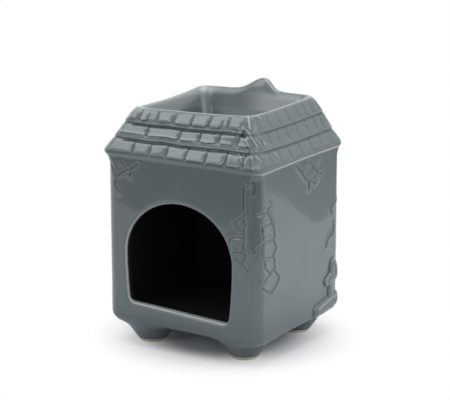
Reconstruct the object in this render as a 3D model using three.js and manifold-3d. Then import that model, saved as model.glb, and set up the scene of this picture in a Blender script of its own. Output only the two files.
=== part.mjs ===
// A glazed ceramic oil burner in the form of a small stone house with a tiled roof.
// Millimetres, +Z up. The arched mouth faces -Y. The origin is on the table, under the middle of the burner.
import * as THREE from 'three';
import { mergeVertices } from 'three/addons/utils/BufferGeometryUtils.js';
import Module from 'manifold-3d';

const wasm = await Module();
wasm.setup();

// Driving dimensions of the walls and floor
const bodyWidth = 82.4;
const bodyDepth = 77;
const bodyHeight = 80;
const bodyCornerRadius = 6.5;
const cornerSharpening = 0.3;
const leastCornerRadius = 1.5;
const wallThickness = 5;
const floorThickness = 5.5;
const bottomRounding = 3.5;

// The arched mouth: a half ellipse over sides that lean in a little towards the sill
const archWidth = 57;
const archRise = 25.4;
const archSideHeight = 26;
const sillWidth = 54;
const sillHeight = 10;
const sillCornerRadius = 4;
const archShift = -1.8;

// The four pads under the floor
const footHeight = 10;
const footBaseRadius = 6;
const footTopRadius = 10.4;
const footMarginX = 1.7;
const footMarginY = 0.6;

// The three courses of tiles, from the eaves up
const eavesHeight = 9.5;
const eavesOverhang = 1.3;
const eavesSetback = 2;
const middleHeight = 7.8;
const middleSetback = 3.2;
const ridgeHeight = 5.7;
const ridgeSetback = 2;
const courseLip = 0.8;
const tileLength = 8.8;
const jointWidth = 1.4;
const jointDepth = 0.7;

// The oil basin and its rolled rim
const rimHeight = 2.2;
const rimFrontFall = 2.2;
const rimRoll = 2.5;
const rimLand = 6.2;
const basinWall = 3.2;
const basinDepth = 19.2;
const basinFloor = 4;
const basinTaper = 4;
const basinFloorRounding = 3;
const basinClearance = 0.3;

// The hump on the rear rim
const lugWidth = 19;
const lugDepth = 10;
const lugRise = 5.6;
const lugShift = 1.2;
const lugLean = 2.2;
const lugOverhang = 1.2;

// The moulded plant on the right wall, near the rear corner
const slipGap = 0.3;
const reliefThickness = 1.25;
const troughHeight = 5;
const troughLength = 26;
const troughBottom = 1.6;
const troughClimb = 1.8;
const troughReturn = 14;
const stemWidth = 4.6;
const stemHeight = 5;
const stemFromRear = 9.5;
const lowerLeafWidth = 9;
const lowerLeafHeight = 6;
const lowerLeafLean = 2.4;
const upperLeafWidth = 6.6;
const upperLeafHeight = 10;
const upperLeafLean = 2.6;

// Levels and half sizes that follow from them
const bodyHalfX = bodyWidth / 2;
const bodyHalfY = bodyDepth / 2;
const undersideZ = footHeight;
const wallTopZ = undersideZ + bodyHeight;
const eavesTopZ = wallTopZ + eavesHeight;
const middleTopZ = eavesTopZ + middleHeight;
const ridgeTopZ = middleTopZ + ridgeHeight;
const crestZ = ridgeTopZ + rimHeight;
const ridgeTopInset = eavesSetback + middleSetback + ridgeSetback;
const basinWallInset = ridgeTopInset + rimLand;
const bowlInset = basinWallInset - basinWall;
const ridgeOpeningInset = bowlInset - basinClearance;
const middleOpeningInset = (wallThickness + ridgeOpeningInset) / 2;

const glaze = new THREE.MeshStandardMaterial({ color: 0x647074, roughness: 0.22, metalness: 0 });
const basinGlaze = new THREE.MeshStandardMaterial({ color: 0x6b787b, roughness: 0.18, metalness: 0 });
const footGlaze = new THREE.MeshStandardMaterial({ color: 0x5f6a6e, roughness: 0.3, metalness: 0 });

const burner = new THREE.Group();

function addPiece(name, geometry, material) {
  const mesh = new THREE.Mesh(geometry, material);
  mesh.name = name;
  burner.add(mesh);
}

// How far the roof sinks below a level height, at a place that far from front to rear. The rim's rear stays
// level and its front sinks by rimFrontFall; the courses beneath share it less, and the wall top not at all.
function roofSink(y, z) {
  const share = THREE.MathUtils.clamp((z - wallTopZ) / (crestZ - wallTopZ), 0, 1);
  return rimFrontFall * share ** 2 * (0.5 - y / bodyDepth);
}

// Points of a rounded rectangle inset from the wall line, counter-clockwise from above, at height z.
// Its corners tighten a little as it shrinks, by cornerSharpening for each millimetre.
// sideSteps gives the places along each straight side, from 0 to 1, that also get a point.
function wallOutline(inset, z, sideSteps = [0], cornerSteps = 5) {
  const halfX = bodyHalfX - inset;
  const halfY = bodyHalfY - inset;
  const radius = Math.max(bodyCornerRadius - cornerSharpening * inset, leastCornerRadius);
  const corners = [
    [halfX - radius, -halfY + radius, -Math.PI / 2],
    [halfX - radius, halfY - radius, 0],
    [-halfX + radius, halfY - radius, Math.PI / 2],
    [-halfX + radius, -halfY + radius, Math.PI],
  ];
  const points = [];
  corners.forEach(([cx, cy, start], side) => {
    for (let i = 0; i < cornerSteps; i++) {
      const angle = start + (i / cornerSteps) * (Math.PI / 2);
      points.push(new THREE.Vector3(cx + radius * Math.cos(angle), cy + radius * Math.sin(angle), z));
    }
    const end = start + Math.PI / 2;
    const from = new THREE.Vector3(cx + radius * Math.cos(end), cy + radius * Math.sin(end), z);
    const [nx, ny] = corners[(side + 1) % 4];
    const to = new THREE.Vector3(nx + radius * Math.cos(end), ny + radius * Math.sin(end), z);
    for (const step of sideSteps) points.push(from.clone().lerp(to, step));
  });
  for (const point of points) point.z -= roofSink(point.y, z);
  return points;
}

// A closed body through a stack of rings with the same number of points. It ends in flat caps,
// or in a hole through the middle when the last ring joins the first.
function loft(rings, { looped = false } = {}) {
  const count = rings[0].length;
  const vertices = rings.flat();
  const triangles = [];
  const bands = looped ? rings.length : rings.length - 1;
  for (let band = 0; band < bands; band++) {
    const lower = band * count;
    const upper = ((band + 1) % rings.length) * count;
    for (let i = 0; i < count; i++) {
      const next = (i + 1) % count;
      triangles.push(lower + i, lower + next, upper + next);
      triangles.push(lower + i, upper + next, upper + i);
    }
  }
  if (!looped) {
    const last = (rings.length - 1) * count;
    const firstCentre = vertices.length;
    vertices.push(centreOf(rings[0]), centreOf(rings[rings.length - 1]));
    for (let i = 0; i < count; i++) {
      const next = (i + 1) % count;
      triangles.push(firstCentre, next, i);
      triangles.push(firstCentre + 1, last + i, last + next);
    }
  }
  const geometry = new THREE.BufferGeometry().setFromPoints(vertices);
  geometry.setIndex(triangles);
  return geometry;
}

function centreOf(ring) {
  const sum = ring.reduce((total, point) => total.add(point), new THREE.Vector3());
  return sum.divideScalar(ring.length);
}

function toSolid(geometry) {
  const bare = geometry.clone();
  bare.deleteAttribute('normal');
  bare.deleteAttribute('uv');
  const merged = mergeVertices(bare, 1e-5);
  return new wasm.Manifold(new wasm.Mesh({
    numProp: 3,
    vertProperties: new Float32Array(merged.attributes.position.array),
    triVerts: new Uint32Array(merged.index.array),
  }));
}

function toGeometry(solid) {
  const mesh = solid.getMesh();
  const geometry = new THREE.BufferGeometry();
  geometry.setAttribute('position', new THREE.BufferAttribute(mesh.vertProperties, 3));
  geometry.setIndex(Array.from(mesh.triVerts));
  return geometry;
}

// The cast box: up the outside, over the top edge, and down the inside to the chamber floor
function bodyShell() {
  const roundingSteps = 4;
  const rings = [];
  for (let i = 0; i <= roundingSteps; i++) {
    const angle = (i / roundingSteps) * (Math.PI / 2);
    const inset = bottomRounding * (1 - Math.sin(angle));
    rings.push(wallOutline(inset, undersideZ + bottomRounding * (1 - Math.cos(angle))));
  }
  rings.push(wallOutline(0, wallTopZ));
  rings.push(wallOutline(wallThickness, wallTopZ));
  rings.push(wallOutline(wallThickness, undersideZ + floorThickness));
  return toGeometry(toSolid(loft(rings)).subtract(toSolid(archCutter())));
}

// The mouth, drawn in the plane of the front wall and pushed back through it
function archCutter() {
  const sillZ = undersideZ + sillHeight;
  const springZ = sillZ + archSideHeight;
  const shape = new THREE.Shape();
  shape.moveTo(archShift - sillWidth / 2 + sillCornerRadius, sillZ);
  shape.lineTo(archShift + sillWidth / 2 - sillCornerRadius, sillZ);
  shape.quadraticCurveTo(archShift + sillWidth / 2, sillZ, archShift + sillWidth / 2, sillZ + sillCornerRadius);
  shape.lineTo(archShift + archWidth / 2, springZ);
  shape.absellipse(archShift, springZ, archWidth / 2, archRise, 0, Math.PI, false, 0);
  shape.lineTo(archShift - sillWidth / 2, sillZ + sillCornerRadius);
  shape.quadraticCurveTo(archShift - sillWidth / 2, sillZ, archShift - sillWidth / 2 + sillCornerRadius, sillZ);
  const past = 1;
  const geometry = new THREE.ExtrudeGeometry(shape, {
    depth: wallThickness + 2 * past,
    bevelEnabled: false,
    curveSegments: 14,
  });
  geometry.rotateX(Math.PI / 2);
  geometry.translate(0, -bodyHalfY + wallThickness + past, 0);
  return geometry;
}

// A turned pad that flares up into the underside, standing on a flat base
function foot() {
  const profile = [new THREE.Vector2(0, 0), new THREE.Vector2(footBaseRadius, 0)];
  const flareSteps = 4;
  for (let i = 1; i <= flareSteps; i++) {
    const rise = i / flareSteps;
    const flare = 0.55 * rise + 0.45 * rise ** 3;
    const radius = footBaseRadius + (footTopRadius - footBaseRadius) * flare;
    profile.push(new THREE.Vector2(radius, footHeight * rise));
  }
  profile.push(new THREE.Vector2(0, footHeight));
  const geometry = new THREE.LatheGeometry(profile, 24);
  geometry.rotateX(Math.PI / 2);
  return toGeometry(toSolid(geometry));
}

// Places along a straight side for the points that draw the joints between tiles
function tileSteps(phase) {
  const count = Math.max(2, Math.round((bodyWidth - 2 * bodyCornerRadius) / tileLength));
  const halfJoint = jointWidth / 2 / tileLength;
  const steps = [[0, false]];
  for (let i = 0; i < count; i++) {
    const joint = i + phase;
    steps.push([(joint - halfJoint) / count, false]);
    steps.push([joint / count, true]);
    steps.push([(joint + halfJoint) / count, false]);
  }
  return steps;
}

// One course of tiles, a ring through rows of [share of its height, inset from the wall line, has joints].
// The last row is its top face, which ends at the opening, as the bottom face does.
function tileCourse({ bottomZ, height, rows, openingInset, phase }) {
  const steps = tileSteps(phase);
  const places = steps.map(([place]) => place);
  const isJoint = steps.map(([, joint]) => joint);
  const cornerSteps = 5;
  const perSide = cornerSteps + places.length;
  const outlineAt = (inset, share) => wallOutline(inset, bottomZ + height * share, places, cornerSteps);
  const rings = rows.map(([share, inset, hasJoints]) => {
    const sunken = outlineAt(inset + jointDepth, share);
    return outlineAt(inset, share).map((point, i) => {
      const place = (i % perSide) - cornerSteps;
      return hasJoints && place >= 0 && isJoint[place] ? sunken[i] : point;
    });
  });
  rings.push(outlineAt(openingInset, 1), outlineAt(openingInset, 0));
  return loft(rings, { looped: true });
}

// The eaves start flush with the wall and swell out over it
function eavesRows() {
  return [
    [0, 0, false],
    [0.24, -eavesOverhang * 0.85, false],
    [0.4, -eavesOverhang, true],
    [0.66, -eavesOverhang * 0.5, true],
    [0.86, eavesSetback * 0.35, true],
    [1, eavesSetback, false],
  ];
}

// A higher course swells into a lip over the one below and slopes in to meet the one above
function courseRows(bottomInset, topInset) {
  const lipInset = bottomInset - courseLip;
  const slope = (share) => lipInset + (topInset - lipInset) * share;
  return [
    [0, bottomInset, false],
    [0.16, lipInset, true],
    [0.5, slope(0.28), true],
    [0.8, slope(0.62), true],
    [1, topInset, false],
  ];
}

// The bowl with its rolled rim: up the outside, over the crest, and down the inside to the oil.
// grow swells it, to cut a seat with a gap in what stands on the rim.
function oilBasin(grow = 0) {
  const floorZ = crestZ - basinDepth;
  const floorInset = basinWallInset + basinTaper;
  const rings = [];
  const ring = (inset, z) => rings.push(wallOutline(inset - grow, z + grow));
  ring(floorInset + basinFloorRounding - basinWall, floorZ - basinFloor - 2 * grow);
  ring(floorInset - basinWall, floorZ - basinFloor + basinFloorRounding - 2 * grow);
  ring(bowlInset, ridgeTopZ - 2 * grow);
  ring(ridgeTopInset, ridgeTopZ - 2 * grow);
  const rollSteps = 4;
  for (let i = 1; i <= rollSteps; i++) {
    const angle = (i / rollSteps) * (Math.PI / 2);
    ring(ridgeTopInset + rimRoll * (1 - Math.cos(angle)), ridgeTopZ + rimHeight * Math.sin(angle));
  }
  if (grow > 0) return loft(rings);
  const bevelSteps = 4;
  for (let i = 1; i <= bevelSteps; i++) {
    const angle = (i / bevelSteps) * (Math.PI / 2);
    const run = rimLand - rimRoll;
    ring(ridgeTopInset + rimRoll + run * Math.sin(angle), crestZ - rimHeight * 1.1 * (1 - Math.cos(angle)));
  }
  ring(floorInset, floorZ + basinFloorRounding);
  ring(floorInset + basinFloorRounding * 0.35, floorZ + basinFloorRounding * 0.35);
  ring(floorInset + basinFloorRounding, floorZ);
  return loft(rings);
}

// A pinched hump of clay astride the rear rim, cut to the rim with a thin gap of slip
function rearLug() {
  const footZ = ridgeTopZ;
  const height = rimHeight + lugRise;
  const crestY = bodyHalfY - ridgeTopInset - rimRoll;
  const levels = 7;
  const rings = [];
  for (let level = 0; level < levels; level++) {
    const rise = level / (levels - 1);
    const flank = level === levels - 1 ? 0.2 : 0.4 + 0.6 * (1 - rise) ** 1.8;
    const swell = Math.sqrt(1 - (0.92 * rise) ** 2);
    const ring = [];
    const around = 20;
    for (let i = 0; i < around; i++) {
      const angle = (i / around) * 2 * Math.PI;
      ring.push(new THREE.Vector3(
        lugShift + lugLean * rise + (lugWidth / 2) * flank * Math.cos(angle),
        crestY + lugOverhang + (lugDepth / 2) * swell * Math.sin(angle),
        footZ + height * rise,
      ));
    }
    rings.push(ring);
  }
  return toGeometry(toSolid(loft(rings)).subtract(toSolid(oilBasin(slipGap))));
}

// A bar along the foot of the right wall that climbs towards the rear corner and turns it
function planterTrough() {
  const straightEnd = bodyHalfY - bodyCornerRadius;
  const outlineX = bodyHalfX - bodyCornerRadius;
  const steps = [];
  const wallSteps = 5;
  const rightLength = troughLength - bodyCornerRadius;
  for (let i = 0; i < wallSteps; i++) {
    steps.push([bodyHalfX, straightEnd - rightLength * (1 - i / wallSteps), 0]);
  }
  const cornerSteps = 6;
  for (let i = 0; i <= cornerSteps; i++) {
    const angle = (i / cornerSteps) * (Math.PI / 2);
    steps.push([
      outlineX + bodyCornerRadius * Math.cos(angle),
      straightEnd + bodyCornerRadius * Math.sin(angle),
      angle,
    ]);
  }
  steps.push([outlineX - troughReturn / 2, bodyHalfY, Math.PI / 2]);
  steps.push([outlineX - troughReturn, bodyHalfY, Math.PI / 2]);
  const cornerIndex = wallSteps;
  const sections = steps.map(([x, y, angle], i) => {
    const climb = troughClimb * Math.min(1, i / cornerIndex);
    const middleZ = undersideZ + troughBottom + climb + troughHeight / 2;
    const end = i === 0 || i === steps.length - 1;
    const height = (end ? 0.6 : 1) * troughHeight;
    const outlineSteps = 8;
    const ring = [];
    for (let k = 0; k <= outlineSteps; k++) {
      const turn = Math.PI * (k / outlineSteps - 0.5);
      const out = slipGap + (reliefThickness - slipGap) * Math.cos(turn) ** 0.6;
      const safeOut = k === 0 || k === outlineSteps ? slipGap : out;
      ring.push(new THREE.Vector3(
        x + safeOut * Math.cos(angle),
        y + safeOut * Math.sin(angle),
        middleZ + (height / 2) * Math.sin(turn),
      ));
    }
    return ring;
  });
  return toGeometry(toSolid(loft(sections.reverse())));
}

// A raised shape with a flat back against the right wall. The outline is given in wall
// coordinates, y towards the rear and z up, counter-clockwise as seen from outside.
function relief(outline, thickness) {
  const centre = outline.reduce((sum, point) => sum.add(point), new THREE.Vector2());
  centre.divideScalar(outline.length);
  const layer = (scale, rise) => outline.map((point) => {
    const spread = point.clone().sub(centre).multiplyScalar(scale).add(centre);
    return new THREE.Vector3(bodyHalfX + rise, spread.x, spread.y);
  });
  return loft([
    layer(1, 0),
    layer(1, thickness * 0.25),
    layer(0.86, thickness * 0.7),
    layer(0.5, thickness),
  ]);
}

function ovalOutline(cy, cz, width, height, point, count = 16) {
  const outline = [];
  for (let i = 0; i < count; i++) {
    const angle = (i / count) * 2 * Math.PI;
    const narrowing = 1 - point * Math.max(0, Math.sin(angle)) ** 2;
    outline.push(new THREE.Vector2(
      cy + (width / 2) * Math.cos(angle) * narrowing,
      cz + (height / 2) * Math.sin(angle),
    ));
  }
  return outline;
}

// The stem and two leaves stand on the trough, each a gap of slip from the last
const stemY = bodyHalfY - stemFromRear;
const troughTopZ = undersideZ + troughBottom + troughClimb + troughHeight;
const stemBottomZ = troughTopZ + slipGap;
const stemTopZ = stemBottomZ + stemHeight;
const lowerLeafZ = stemTopZ + slipGap + lowerLeafHeight / 2;
const upperLeafZ = lowerLeafZ + upperLeafHeight / 2;

function plantStem() {
  const half = stemWidth / 2;
  const waist = half * 0.8;
  const middleZ = (stemBottomZ + stemTopZ) / 2;
  const outline = [
    new THREE.Vector2(stemY - half, stemBottomZ),
    new THREE.Vector2(stemY + half, stemBottomZ),
    new THREE.Vector2(stemY + waist, middleZ),
    new THREE.Vector2(stemY + half, stemTopZ),
    new THREE.Vector2(stemY - half, stemTopZ),
    new THREE.Vector2(stemY - waist, middleZ),
  ];
  return relief(outline, reliefThickness * 0.7);
}

function lowerLeafOutline(grow) {
  const width = lowerLeafWidth + 2 * grow;
  const height = lowerLeafHeight + 2 * grow;
  return ovalOutline(stemY - lowerLeafLean, lowerLeafZ, width, height, 0.2);
}

function plantLeafUpper() {
  const outline = ovalOutline(stemY + upperLeafLean, upperLeafZ, upperLeafWidth, upperLeafHeight, 0.7);
  const leaf = toSolid(relief(outline, reliefThickness));
  const seat = toSolid(relief(lowerLeafOutline(slipGap), reliefThickness * 4).translate(-0.1, 0, 0));
  return toGeometry(leaf.subtract(seat));
}

addPiece('body_shell', bodyShell(), glaze);
addPiece('eaves_course', tileCourse({
  bottomZ: wallTopZ,
  height: eavesHeight,
  rows: eavesRows(),
  openingInset: wallThickness,
  phase: 0.25,
}), glaze);
addPiece('middle_course', tileCourse({
  bottomZ: eavesTopZ,
  height: middleHeight,
  rows: courseRows(eavesSetback, eavesSetback + middleSetback),
  openingInset: middleOpeningInset,
  phase: 0.75,
}), glaze);
addPiece('ridge_course', tileCourse({
  bottomZ: middleTopZ,
  height: ridgeHeight,
  rows: courseRows(eavesSetback + middleSetback, ridgeTopInset),
  openingInset: ridgeOpeningInset,
  phase: 0.25,
}), glaze);
addPiece('oil_basin', oilBasin(), basinGlaze);
addPiece('rear_lug', rearLug(), basinGlaze);
addPiece('planter_trough', planterTrough(), glaze);
addPiece('plant_stem', plantStem(), glaze);
addPiece('plant_leaf_lower', relief(lowerLeafOutline(0), reliefThickness), glaze);
addPiece('plant_leaf_upper', plantLeafUpper(), glaze);

const footX = bodyHalfX - bottomRounding - footMarginX - footTopRadius;
const footY = bodyHalfY - bottomRounding - footMarginY - footTopRadius;
const footPlaces = {
  foot_front_left: [-footX, -footY],
  foot_front_right: [footX, -footY],
  foot_rear_left: [-footX, footY],
  foot_rear_right: [footX, footY],
};
for (const [name, [x, y]] of Object.entries(footPlaces)) {
  addPiece(name, foot().translate(x, y, 0), footGlaze);
}

export default burner;
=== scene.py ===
"""A glazed ceramic oil burner in the form of a small tiled house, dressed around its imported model.

The fired clay is one implicit surface, worked out in millimetres: a function that is negative inside the
clay and positive outside it. It is meshed, then cut along the lines where the burner's castings meet, so
that every piece is a closed solid of its own. Blender's objects are in metres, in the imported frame.
"""

import bpy
import numpy as np
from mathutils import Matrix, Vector


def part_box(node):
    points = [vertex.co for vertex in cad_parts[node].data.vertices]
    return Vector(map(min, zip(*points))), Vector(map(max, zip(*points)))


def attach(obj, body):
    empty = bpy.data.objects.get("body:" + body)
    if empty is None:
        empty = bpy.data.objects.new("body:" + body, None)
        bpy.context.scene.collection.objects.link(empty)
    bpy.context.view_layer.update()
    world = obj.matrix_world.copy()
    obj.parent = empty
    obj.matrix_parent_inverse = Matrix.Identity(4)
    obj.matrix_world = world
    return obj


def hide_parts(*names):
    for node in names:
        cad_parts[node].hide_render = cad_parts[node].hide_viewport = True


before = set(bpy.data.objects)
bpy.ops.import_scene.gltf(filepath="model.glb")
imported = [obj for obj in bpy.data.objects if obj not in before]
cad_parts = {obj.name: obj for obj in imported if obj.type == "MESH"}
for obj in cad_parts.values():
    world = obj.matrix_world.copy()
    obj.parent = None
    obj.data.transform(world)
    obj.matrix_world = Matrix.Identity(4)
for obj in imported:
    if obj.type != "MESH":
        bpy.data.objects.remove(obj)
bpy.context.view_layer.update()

MM = 0.001


def node_box(node):
    """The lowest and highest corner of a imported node, in millimetres."""
    return [np.array(corner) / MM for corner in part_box(node)]


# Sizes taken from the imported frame
body_low, body_high = node_box("body_shell")
eaves_low, eaves_high = node_box("eaves_course")
middle_high = node_box("middle_course")[1]
ridge_high = node_box("ridge_course")[1]
HALF_X = body_high[0]
HALF_Y = body_high[1]
UNDERSIDE_Z = body_low[2]
EAVES_Z = eaves_low[2]
MIDDLE_Z = eaves_high[2]
RIDGE_Z = middle_high[2]
RIM_Z = ridge_high[2]
CREST_Z = node_box("oil_basin")[1][2]
BOWL_UNDERSIDE_Z = node_box("oil_basin")[0][2]
LUG_TOP_Z = node_box("rear_lug")[1][2]
EAVES_OVERHANG = eaves_high[0] - HALF_X
FOOT_NODES = ("foot_front_left", "foot_front_right", "foot_rear_left", "foot_rear_right")

# Walls, chamber and mouth
CORNER_RADIUS = 5.8
CORNER_RADII = (CORNER_RADIUS, 3.6, 4.2, 5.6)
WALL = 5
WALL_SWELL = 0.3
FLOOR = 5.5
FRONT_BOTTOM_ROUNDING = 6
BOTTOM_ROUNDING = 3
CHAMBER_CORNER_RADIUS = 5
CHAMBER_ROUNDING = 2
ARCH_CENTRE_X = -1.8
ARCH_SPRING_Z = 46
ARCH_HALF_WIDTH = 28.5
ARCH_RISE = 25.4
SILL_HALF_WIDTH = 26.8
SILL_Z = 20.3
SILL_FALL = 0.05
SILL_CORNER_RADIUS = 2.5
MOUTH_LIP = 2.4

# Feet
FOOT_BASE_RADIUS = 6
FOOT_TOP_RADIUS = 13.2
FOOT_STEEPNESS = 0.8
FOOT_FILLET = 3
FOOT_PARTING_Z = UNDERSIDE_Z - 0.4
FOOT_CENTRES = [sum(node_box(node))[:2] / 2 for node in FOOT_NODES]

# The oil basin: how far its inner wall stands in from the plane of the outer wall, by height
BASIN_FLOOR_Z = BOWL_UNDERSIDE_Z + 4
BASIN_CORNER_RADIUS = 4.5
BASIN_FLOOR_ROUNDING = 3
BASIN_INSET = (
    (BASIN_FLOOR_Z - 1, 18.6),
    (BASIN_FLOOR_Z + 11, 15.2),
    (CREST_Z - 3.2, 13.4),
    (CREST_Z - 0.7, 12.0),
    (CREST_Z + 0.8, 10.4),
    (CREST_Z + 2.8, 7.5),
)
BASIN_SOFTNESS = 0.9
BASIN_EDGE_Z = CREST_Z - 2.6
RIM_ROLL = 3.4
BOWL_INSET = 10.2

# The outside from the wall up to the rim: level, and how far it stands out from the wall's plane
ROOF_SLOPE = (
    (UNDERSIDE_Z, WALL_SWELL),
    (EAVES_Z + 0.1, WALL_SWELL),
    (EAVES_Z + 0.5, WALL_SWELL + 0.2),
    (EAVES_Z + 1.0, EAVES_OVERHANG - 0.45),
    (EAVES_Z + 1.8, EAVES_OVERHANG - 0.05),
    (EAVES_Z + 3.4, EAVES_OVERHANG - 0.1),
    (MIDDLE_Z, -2.1),
    (RIDGE_Z, -5.4),
    (RIM_Z + 0.5, -7.8),
    (CREST_Z + 0.3, -8.9),
    (CREST_Z + 1.6, -10.3),
    (CREST_Z + 3.0, -13),
    (CREST_Z + 8, -30),
)
# The lips of the two upper courses: the seam, and by height above it how much further out or in they stand
LIPS = (
    (MIDDLE_Z, ((-1.6, 0), (-0.6, -0.75), (-0.05, -0.65), (0.45, 0.75), (2.2, 0.7), (4.2, 0))),
    (RIDGE_Z, ((-1.5, 0), (-0.55, -0.75), (-0.05, -0.65), (0.45, 0.75), (3.2, 0.75), (7.6, 0))),
)
FRONT_LIP = 1.0
SIDE_LIP = 0.8
HIP_LIP = 0.3
PROFILE_SOFTNESS = 0.26
# The lower courses were set a little to the left: level, and how far
PROFILE_SHIFT = ((EAVES_Z + 1, EAVES_Z + 3, MIDDLE_Z, RIDGE_Z), (0, 0.5, 0.2, 0))

# The roof was pressed by hand, so its level lines dip. For each level on the drawing: how far it dips at
# the near, front left, rear right and rear left corners, and how much more in the middle of the front,
# right, left and rear
ROOF_DIPS = np.array((
    (EAVES_Z - 6, 0, 0, 0, 0, 0, 0, 0, 0),
    (EAVES_Z + 1.4, 1.0, 0, 0, 0, -0.5, -0.5, 0, 0),
    (MIDDLE_Z, 0.4, 0.3, -0.1, 0.2, 0.4, 0.9, 0.3, 0.3),
    (RIDGE_Z, 0.3, 1.1, -1.0, 0.5, 0.5, 0.9, 0.5, 0.3),
    (CREST_Z, 1.0, 2.3, 0.5, -0.1, 0.7, 0.3, 2.1, -1.1),
))
SEAM_WAVE = 0.12

# Tiles: where the joints lie along each face, in millimetres from its middle
TILE_JOINTS = {
    ("front", 0): (-25.6, -16.5, -7.2, 3.3, 13.7, 24.2, 33.4),
    ("front", 1): (-20.4, -2.6, 8.2, 18.5, 28.3),
    ("front", 2): (-25.6, -16.4, -7.0, 2.4, 12.0, 21.6),
    ("right", 0): (-34.0, -26.7, -18.3, -9.5, 0.1, 10.0, 19.3, 28.5),
    ("right", 1): (-29.0, -22.3, -14.5, -5.8, 3.1, 12.2, 19.8, 26.1),
    ("right", 2): (-29.9, -18.7, -10.1, -1.4, 7.5, 14.3, 20.3, 26.5),
}
# How far the thick part of a tile, counted from the left, stays back from the joints on its left and right
TILE_TRIM = {
    ("front", 0): {2: (0, 0.5), 3: (0.2, 0), 5: (0, 0.4), 6: (0, 1.0), 7: (0, 9)},
    ("front", 1): {1: (0.3, 0), 2: (0, 0.4), 3: (0, 1.0), 4: (0, 1.5), 5: (0, 9)},
    ("front", 2): {
        0: (1.0, 1.5), 1: (0, 4.8), 2: (0.2, 1.4), 3: (0.6, 0), 4: (0, 0.8), 5: (0, 3.2), 6: (0.5, 9),
    },
}
HIDDEN_TILE_LENGTH = 9.2
END_TILE = 16
# How far the ends of a tile slant, and at what share of its height they and its face turn
TILE_SLANT = 4.5
TILE_TURN = 0.6
# How far from the hips the tiles start and are full
TILES_FROM_HIP = (0.5, 4.5)
# A joint's depth and half width, a tile's bulge, how unevenly its face is cut and how round its edge is
CHUNKY_TILES = (0.4, 0.5, 0.8, 0.26, 2.2)
FLAT_TILES = (0.4, 0.4, 0.12, 0.06, 1.5)
# Where the thick part of a tile starts, is highest and ends, as shares of its course's height
PILLOW = ((0.36, 0.47, 0.97), (0.34, 0.46, 0.96), (0.24, 0.44, 0.95))

# Ridges and cuts left by hand at the near hip: height above the tiles, half width, how strong the painted
# highlight on it is, and its points, as (distance from the hip, towards the front below zero; height)
HIP_MARKS = (
    (0.45, 0.75, 0.6, ((-1.4, 113.6), (-2.1, 109.4))),
    (0.4, 0.7, 0.4, ((-3.0, 107.5), (-1.2, 104.9), (1.5, 101.6))),
    (0.28, 0.6, 0.2, ((2.8, 106.4), (8.0, 101.8))),
    (0.2, 0.4, 0.0, ((0.8, 106.0), (3.6, 102.8))),
    (0.25, 0.5, 0.15, ((-1.2, 98.4), (1.1, 95.2), (3.2, 95.4), (0.1, 97.7))),
    (0.25, 0.4, 0.3, ((14.3, 97.8), (16.8, 95.3))),
    (0.2, 0.4, 0.2, ((4.6, 113.8), (6.8, 112.3))),
    (0.35, 0.7, 0.0, ((-7.9, 106.2), (-7.6, 108.2), (-5.4, 109.0), (-3.9, 108.2))),
    (-0.6, 1.2, 0.0, ((-5.3, 106.9), (-5.2, 106.2))),
    (0.3, 0.8, 0.0, ((-5.0, 103.6), (-4.7, 102.9))),
    (-0.4, 0.5, 0.0, ((-4.8, 101.6), (-4.8, 101.2))),
    (0.3, 0.45, 0.0, ((-9.2, 98.2), (-8.8, 95.2), (-7.4, 94.9), (-6.7, 97.4))),
    (-0.5, 0.9, 0.0, ((-3.6, 100.3), (-4.0, 97.0), (-4.4, 93.8))),
)
# How far from the hip they reach
HIP_REACH = 20

# Stones cut into the walls, patch by patch: how deep and how wide its grooves are, how much the clay
# swells beside them, and their lines of points, as (x, z) on the front and (y, z) on the right
FRONT_CARVING = (
    (0.55, 0.45, 0.2, (
        ((-32.6, 87.8), (-30.8, 86.3), (-28.5, 84.2), (-26.4, 85.8), (-23.1, 88.2)),
        ((-27.3, 83.8), (-27.2, 82.3)),
        ((-37.9, 86.3), (-36.7, 83.3), (-35.3, 80.7), (-32.2, 83.0), (-30.0, 84.3)),
        ((-35.5, 79.5), (-35.9, 77.4), (-34.8, 75.1), (-33.5, 73.7)),
    )),
    (0.4, 0.5, 0.0, (
        ((33.3, 85.4), (33.7, 84.0), (33.8, 80.0), (33.5, 73.9), (34.2, 71.9)),
        ((38.4, 86.7), (38.7, 83.5), (38.4, 80.6)),
        ((33.7, 84.2), (38.6, 84.8)),
    )),
    (0.30, 0.55, 0.2, (
        ((29.5, 67.8), (32.1, 69.4), (33.9, 71.3), (34.6, 67.0), (34.0, 64.8), (31.7, 63.8), (30.7, 65.8),
         (29.5, 67.8)),
        ((34.0, 64.8), (34.0, 63.3), (34.4, 60.8), (33.8, 57.7), (34.5, 54.7)),
        ((26.8, 59.6), (28.4, 60.4), (32.4, 60.4), (34.2, 61.2)),
        ((26.6, 59.6), (26.5, 55.6), (27.5, 53.3), (31.7, 53.7), (34.2, 55.5), (37.0, 54.4)),
        ((27.7, 51.9), (30.0, 50.5), (32.4, 49.0), (36.1, 45.9)),
        ((34.5, 53.9), (34.7, 51.9), (32.9, 49.3)),
    )),
)
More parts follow.
